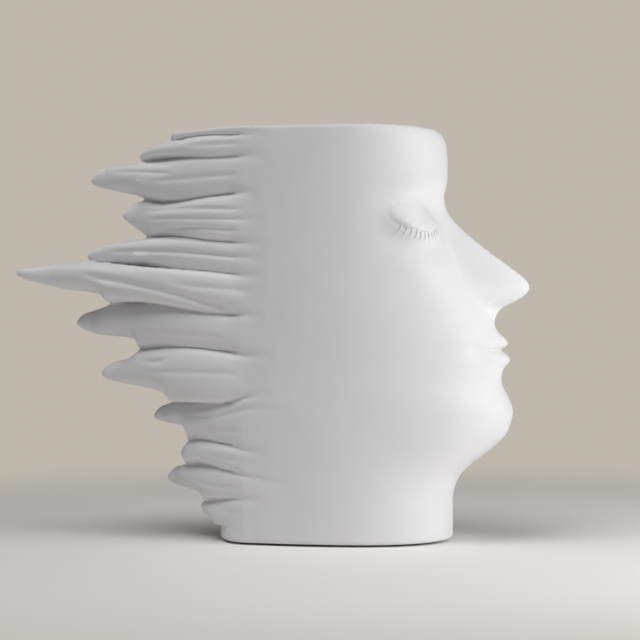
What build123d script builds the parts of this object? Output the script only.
from build123d import *
from math import cos, exp, pi, radians, sin
import os

# Head vase with a face at the front and swept-back streaks behind.
# Lengths in mm, +Z up, the face looks towards +X.

# Overall sizes
vase_height = 240.0
foot_length = 136.0
band_height = 10.0  # plain band round the foot, below the streaks
head_width = 97.0
face_reach = 103.0  # from the middle of the foot to the point of the chin

# Shell
side_wall = 8.5
back_wall = 7.0
floor_thickness = 8.0
cavity_length = 104.0
seat_width = 60.0  # of the flat-backed wall that the streaks are set round
temple_forward = 8.0  # where the side wall turns into the face
seam_back = 45.0  # where the side wall ends and the streaks begin
seam_width = 84.0
foot_slope = 0.25  # how fast the foot narrows where the streaks begin

# Face
nose_length = 61.0
nose_projection = 31.5
nose_width = 40.0
socket_depth = 4.5
socket_height = 20.0
lid_projection = 6.5
lid_height = 23.0
brow_projection = 2.0
brow_height = 14.0
cheek_projection = 1.8
cheek_height = 32.0
lip_projection = 3.8
lip_height = 8.6
parting_depth = 2.6
parting_height = 3.4
mouth_width = 56.0
# Places round the face from its mid-line and spreads of the features, in degrees
socket_angle, socket_spread = 36, 17
corner_angle, corner_spread = 20, 8
corner_share = 0.45  # depth of the inner corner of the eye, of the socket
brow_spread = 24
lid_angle, lid_spread = 43, 20
cheek_angle, cheek_spread = 52, 16

# Streaks
streak_reach = 147.0  # from the seam to the longest tip
streak_width = 87.0  # across the streaks at the seam
middle_tip_width = 9.0
side_tip_width = 6.0
tip_sway = 7.0  # how far the middle tips lie off the middle, by turns to each side

# Felt pad under the foot
pad_thickness = 1.2
pad_inset = 5.0

overrun = 20.0  # how far a body that trims another passes it

# Mid-line of the face, as shares of the vase height and of the face reach
face_shares = (
    (0.040, 0.660), (0.078, 0.660), (0.117, 0.660), (0.160, 0.712), (0.195, 0.792), (0.232, 0.902),
    (0.265, 0.970), (0.295, 0.994),
    (0.325, 0.999), (0.355, 0.970), (0.383, 0.938), (0.417, 0.941), (0.440, 0.947), (0.464, 0.940),
    (0.488, 0.932), (0.506, 0.915), (0.527, 0.893), (0.550, 0.868), (0.562, 0.854), (0.575, 0.840),
    (0.600, 0.812), (0.612, 0.795), (0.625, 0.778), (0.637, 0.761), (0.650, 0.744), (0.665, 0.723),
    (0.680, 0.703), (0.694, 0.684), (0.708, 0.665), (0.722, 0.649), (0.735, 0.633), (0.750, 0.619),
    (0.765, 0.608), (0.780, 0.602), (0.795, 0.597), (0.820, 0.599), (0.850, 0.613), (0.885, 0.627),
    (0.925, 0.627), (0.963, 0.625), (0.987, 0.602), (1.000, 0.540),
)
station_angles = (0, 7, 16, 28, 43, 62, 90)  # round the face from its mid-line, in degrees
squareness = 2.2  # of the plan of the face: 2 would be an ellipse

# Nose from its base up, as shares of its length, projection and width
nose_shares = (
    (-0.30, 0.00, 0.40), (-0.16, 0.04, 0.50), (-0.02, 0.26, 0.72), (0.09, 0.74, 0.95), (0.18, 0.98, 1.05),
    (0.27, 1.00, 0.95), (0.38, 0.86, 0.80), (0.50, 0.68, 0.68), (0.64, 0.48, 0.60), (0.78, 0.28, 0.54),
    (0.92, 0.11, 0.50), (1.08, 0.00, 0.45),
)
# Levels of the features, as shares of the vase height
nose_base_share = 0.568
socket_share = 0.800
lid_share = 0.771
brow_share = 0.871
cheek_share = 0.667
upper_lip_share = 0.487
lower_lip_share = 0.440
parting_share = 0.464

# Creases between the streaks where they leave the seam, from the foot up, as shares of the streaked height
seam_crease_shares = (
    0, 0.069, 0.125, 0.190, 0.328, 0.428, 0.528, 0.626, 0.708, 0.837, 0.926, 0.980, 1,
)
# Notches where the creases come out behind, as shares of the streak reach and of the streaked height
notch_shares = (
    (0.169, 0.000), (0.222, 0.056), (0.303, 0.143), (0.290, 0.207), (0.350, 0.307), (0.493, 0.439),
    (0.616, 0.561), (0.721, 0.669), (0.447, 0.727), (0.459, 0.826), (0.490, 0.924), (0.371, 0.972),
    (0.371, 1.000),
)
# Side view of each streak between its notches, from the foot up: a point under the tip, the tip,
# and a point over it
streak_shares = (
    ((0.218, 0.015), (0.246, 0.040), None),
    ((0.322, 0.084), (0.395, 0.105), (0.354, 0.135)),
    (None, (0.331, 0.174), (0.306, 0.192)),
    ((0.378, 0.248), (0.451, 0.264), (0.418, 0.292)),
    ((0.500, 0.347), (0.648, 0.375), (0.585, 0.413)),
    ((0.630, 0.470), (0.772, 0.513), (0.710, 0.546)),
    ((0.770, 0.592), (1.000, 0.638), (0.850, 0.661)),
    (None, (0.732, 0.685), (0.600, 0.716)),
    ((0.519, 0.759), (0.561, 0.782), None),
    ((0.570, 0.846), (0.712, 0.877), (0.660, 0.913)),
    (None, (0.499, 0.932), (0.422, 0.967)),
    (None, (0.377, 0.986), None),
)
broad_streaks = (0, 2, 10, 11)  # thin streaks with one broad end
# Plan of a broad streak behind the seam, as shares of its own reach and of the streak width
broad_shares = ((0.43, 0.425), (0.86, 0.240))
side_reach_share = 0.68  # reach of a side strand, of the reach of its streak
side_spread_share = 0.27  # how far a side tip lies from the middle, of the streak width
strand_size_share = 0.54  # radius of a strand, of the height of its streak
shoulder_share = 0.62  # how far out a strand starts to narrow, of its reach
shoulder_room_share = 1.04  # width of a strand's outline at its shoulder, in widths of its bar
web_share = 0.62  # how far out the middle strand stays joined to the others, of its reach
left_right_share = 0.08  # how much longer one side strand is than the other, of its reach

streaked_height = vase_height - band_height
half_width = head_width / 2
cavity_width = head_width - 2 * side_wall
seat_back = cavity_length / 2 + back_wall


def blend(rows, at, column):
    """A column of a table of rows, read between two rows by the first column."""
    if at <= rows[0][0]:
        return rows[0][column]
    for low, high in zip(rows, rows[1:]):
        if at <= high[0]:
            part = (at - low[0]) / (high[0] - low[0])
            return low[column] + (high[column] - low[column]) * part
    return rows[-1][column]


def swell(distance, height):
    """Soft bump that is one in its middle and has faded at half its height to each side."""
    return exp(-((2 * distance / height) ** 2))


def band(angle, middle, spread):
    """Soft bump over the angle round the face."""
    return exp(-(((angle - middle) / spread) ** 2))


def feature_relief(angle, level):
    """How far the surface stands out at an angle round the face and a level."""
    hollow = band(angle, socket_angle, socket_spread)
    hollow += corner_share * band(angle, corner_angle, corner_spread)
    socket = socket_depth * hollow * swell(level - socket_share * vase_height, socket_height)
    brow = brow_projection * band(angle, socket_angle, brow_spread)
    brow *= swell(level - brow_share * vase_height, brow_height)
    up = 2 * (level - lid_share * vase_height) / lid_height
    from_lid = ((angle - lid_angle) / lid_spread) ** 2 + up**2
    lid = lid_projection * exp(-(from_lid**1.5))
    cheek = cheek_projection * band(angle, cheek_angle, cheek_spread)
    cheek *= swell(level - cheek_share * vase_height, cheek_height)
    return brow + lid + cheek - socket


def nose_relief(across, level):
    """How far the nose stands out in front of the face."""
    up = (level - nose_base_share * vase_height) / nose_length
    if up <= nose_shares[0][0] or up >= nose_shares[-1][0]:
        return 0
    from_middle = abs(across) / (blend(nose_shares, up, 2) * nose_width / 2)
    if from_middle >= 1:
        return 0
    return nose_projection * blend(nose_shares, up, 1) * (1 + cos(pi * from_middle)) / 2


def mouth_relief(across, level):
    """How far the lips stand out, with the parting between them."""
    fullness = max(0, 1 - (2 * across / mouth_width) ** 2)
    lips = swell(level - upper_lip_share * vase_height, lip_height)
    lips += swell(level - lower_lip_share * vase_height, lip_height)
    parting = parting_depth * swell(level - parting_share * vase_height, parting_height)
    return lip_projection * lips * fullness**0.8 - parting * fullness**0.5


def face_half(level, reach):
    """Points of one side of the face at a level, from the mid-line to the temple, as (forward, across)."""
    depth = reach - temple_forward
    points = []
    for angle in station_angles:
        ahead = max(0, cos(radians(angle)))
        aside = sin(radians(angle))
        if angle == 90:
            points.append((temple_forward, half_width))
            continue
        forward = temple_forward + depth * ahead ** (2 / squareness)
        across = half_width * aside ** (2 / squareness)
        slope = (ahead ** (2 - 2 / squareness) / depth, aside ** (2 - 2 / squareness) / half_width)
        steepness = (slope[0] ** 2 + slope[1] ** 2) ** 0.5
        relief = feature_relief(angle, level)
        front = nose_relief(across, level) + mouth_relief(across, level)
        out = relief / steepness
        points.append((forward + out * slope[0] + front, across + out * slope[1]))
    return points


def face_section(level, reach):
    """Closed outline of the front of the head at a level, flat across the temples."""
    half = face_half(level, reach)
    right = [Vector(x, -y, level) for x, y in reversed(half)]
    left = [Vector(x, y, level) for x, y in half[1:]]
    points = right + left
    curve = Edge.make_spline(
        points, tangents=[Vector(1, 0, 0), Vector(-1, 0, 0)], parameters=section_parameters()
    )
    return Wire([curve, Edge.make_line(points[-1], points[0])])


def section_parameters():
    """The same spacing along every outline, so that neighbouring outlines join without twist."""
    widest = station_angles[-1]
    angles = [-angle for angle in reversed(station_angles)] + list(station_angles[1:])
    return [(angle + widest) / (2 * widest) for angle in angles]


def wall_plan():
    """Plan of the side walls, from the temples back to the seam."""
    left = TangentArc((temple_forward, half_width), (-seam_back, seam_width / 2), tangent=(-1, 0))
    right = mirror(left, Plane.XZ)
    seam = Line((-seam_back, seam_width / 2), (-seam_back, -seam_width / 2))
    temples = Line((temple_forward, -half_width), (temple_forward, half_width))
    return make_face(Wire(left.edges() + seam.edges() + right.edges() + temples.edges()))


def foot_plan():
    """Plan of the foot behind the seam, rounded off where the streaks stand over it."""
    left = Spline(
        (-seam_back, seam_width / 2), (-foot_length / 2, 0), tangents=((-1, -foot_slope), (0, -1))
    )
    right = mirror(left, Plane.XZ)
    seam = Line((-seam_back, seam_width / 2), (-seam_back, -seam_width / 2))
    return make_face(Wire(left.edges() + right.edges() + seam.edges()))


def seat_block():
    """Flat-backed wall behind the seam that the streaks are set round."""
    depth = seat_back - seam_back
    height = vase_height - pad_thickness
    corner = (-seat_back, -seat_width / 2, pad_thickness)
    return Pos(*corner) * Box(depth, seat_width, height, align=(Align.MIN, Align.MIN, Align.MIN))


def head_shell():
    """Head with its face, the wall behind it and the foot, hollow and open at the top."""
    rows = [(pad_thickness / vase_height, face_shares[0][1]), *face_shares]
    sections = [face_section(level * vase_height, reach * face_reach) for level, reach in rows]
    body = extrude(Plane.XY.offset(pad_thickness) * wall_plan(), vase_height - pad_thickness)
    body += Solid.make_loft(sections, ruled=True)
    body += seat_block()
    body += extrude(Plane.XY.offset(pad_thickness) * foot_plan(), band_height - pad_thickness)
    cavity = Ellipse(cavity_length / 2, cavity_width / 2)
    body -= extrude(Plane.XY.offset(pad_thickness + floor_thickness) * cavity, vase_height)
    return body


def streak_point(shares):
    """Place in side view for shares of the reach and of the streaked height."""
    back, up = shares
    return Vector(-seam_back - back * streak_reach, 0, band_height + up * streaked_height)


def curve_through(start, middle, end):
    """Arc through a middle point, or a straight line where there is none."""
    if middle is None:
        return Edge.make_line(start, end)
    return Edge.make_three_point_arc(start, streak_point(middle), end)


def streak_side(index):
    """Side view of a streak between its two creases, drawn through the whole width."""
    under, tip_shares, over = streak_shares[index]
    low, high = streak_point(notch_shares[index]), streak_point(notch_shares[index + 1])
    root_low = streak_point((0, seam_crease_shares[index]))
    root_high = streak_point((0, seam_crease_shares[index + 1]))
    tip = streak_point(tip_shares)
    edges = [
        Edge.make_line(root_high, root_low),
        Edge.make_line(root_low, low),
        curve_through(low, under, tip),
        curve_through(tip, over, high),
        Edge.make_line(high, root_high),
    ]
    return extrude(make_face(Wire(edges)), streak_width, dir=(0, 1, 0), both=True)


def strand(root, tip, radius, tip_width):
    """Round bar from ahead of its root to its tip, brought to a point above and below behind its shoulder."""
    along = (tip - root).normalized()
    start = root - along * overrun
    shoulder = root + (tip - root) * shoulder_share
    upwards = Vector(0, 0, 1)
    wide, narrow = upwards * (radius + overrun), upwards * (tip_width / 2)
    shoulder_up = upwards * radius * shoulder_room_share
    under = [start - wide, shoulder - shoulder_up, tip - narrow]
    over = [tip + narrow, shoulder + shoulder_up, start + wide]
    outline = make_face(Polyline(*[(point.X, 0, point.Z) for point in under + over], close=True))
    bar = Solid.make_cylinder(radius, (tip - start).length + overrun, Plane(start, z_dir=along))
    return bar & extrude(outline, streak_width, dir=(0, 1, 0), both=True)


def finger_plan(root, tip, radius, tip_width):
    """Plan of one strand: as wide as its bar up to the shoulder, then narrowing to just past the tip."""
    along = (tip - root).normalized()
    shoulder = root + (tip - root) * shoulder_share
    aside = Vector(-along.Y, along.X, 0).normalized()
    start, end = root - along * overrun, tip + along * tip_width
    wide, narrow = aside * radius * shoulder_room_share, aside * (tip_width / 2)
    points = [start - wide, shoulder - wide, end - narrow, end + narrow, shoulder + wide, start + wide]
    return make_face(Polyline(*[(point.X, point.Y) for point in points], close=True))


def swept_streak(index):
    """Streak of a middle strand and two shorter side strands that grow together towards the seam."""
    tip_shares = streak_shares[index][1]
    hand = 1 if index % 2 else -1
    seam_height = seam_crease_shares[index + 1] - seam_crease_shares[index]
    notch_height = notch_shares[index + 1][1] - notch_shares[index][1]
    radius = strand_size_share * max(seam_height, notch_height) * streaked_height
    root_level = (seam_crease_shares[index] + seam_crease_shares[index + 1]) / 2
    side_level = (notch_shares[index][1] + notch_shares[index + 1][1]) / 2
    root = streak_point((0, root_level))
    tip = streak_point(tip_shares) + Vector(0, hand * tip_sway, 0)
    bars = []
    middle = finger_plan(root, tip, radius, middle_tip_width)
    plan = middle
    joint = root + (tip - root) * web_share
    edge = {}
    for side in (-1, 1):
        side_reach = tip_shares[0] * side_reach_share * (1 + side * hand * left_right_share)
        side_root = root + Vector(0, side * (streak_width / 2 - radius), 0)
        aside = Vector(0, side * side_spread_share * streak_width, 0)
        side_tip = streak_point((side_reach, side_level)) + aside
        bars.append(strand(side_root, side_tip, radius, side_tip_width))
        plan += finger_plan(side_root, side_tip, radius, side_tip_width)
        shoulder = side_root + (side_tip - side_root) * shoulder_share
        edge[side] = [(root.X + overrun, side_root.Y), (root.X, side_root.Y), (shoulder.X, shoulder.Y)]
    web = make_face(Polyline(*edge[-1], (joint.X, joint.Y), *reversed(edge[1]), close=True))
    solid = bars[0].fuse(bars[1], extrude(web + middle, vase_height))
    return streak_side(index) & extrude(plan + web, vase_height) & solid


def broad_plan(reach):
    """Plan of a streak that carries the round of the head on behind the seam, to a blunt end."""
    corner, middle, back = (
        Vector(-seam_back - ahead * reach, across * streak_width)
        for ahead, across in ((0, 0.5), *broad_shares)
    )
    left = ThreePointArc(corner, middle, back)
    right = mirror(left, Plane.XZ)
    end = ThreePointArc(back, Vector(-seam_back - reach, 0), Vector(back.X, -back.Y))
    seam = Line(corner, (corner.X, -corner.Y))
    return make_face(Wire(left.edges() + right.edges() + end.edges() + seam.edges()))


def broad_streak(index):
    """Thin streak with one broad end."""
    reach = streak_shares[index][1][0] * streak_reach
    return streak_side(index) & extrude(broad_plan(reach), vase_height)


def streaks():
    """All streaks from the foot up, set round the flat-backed wall of the head."""
    kinds = [broad_streak if index in broad_streaks else swept_streak for index in range(len(streak_shares))]
    return [kind(index) - seat_block() for index, kind in enumerate(kinds)]


def base_pad():
    """Felt pad stuck under the foot."""
    return extrude(SlotOverall(foot_length - 2 * pad_inset, seam_width - 2 * pad_inset), pad_thickness)


os.makedirs("parts", exist_ok=True)
export_step(head_shell(), "parts/head_shell.step")
export_step(base_pad(), "parts/base_pad.step")
for number, streak in enumerate(streaks(), start=1):
    export_step(streak, f"parts/streak_{number:02d}.step")
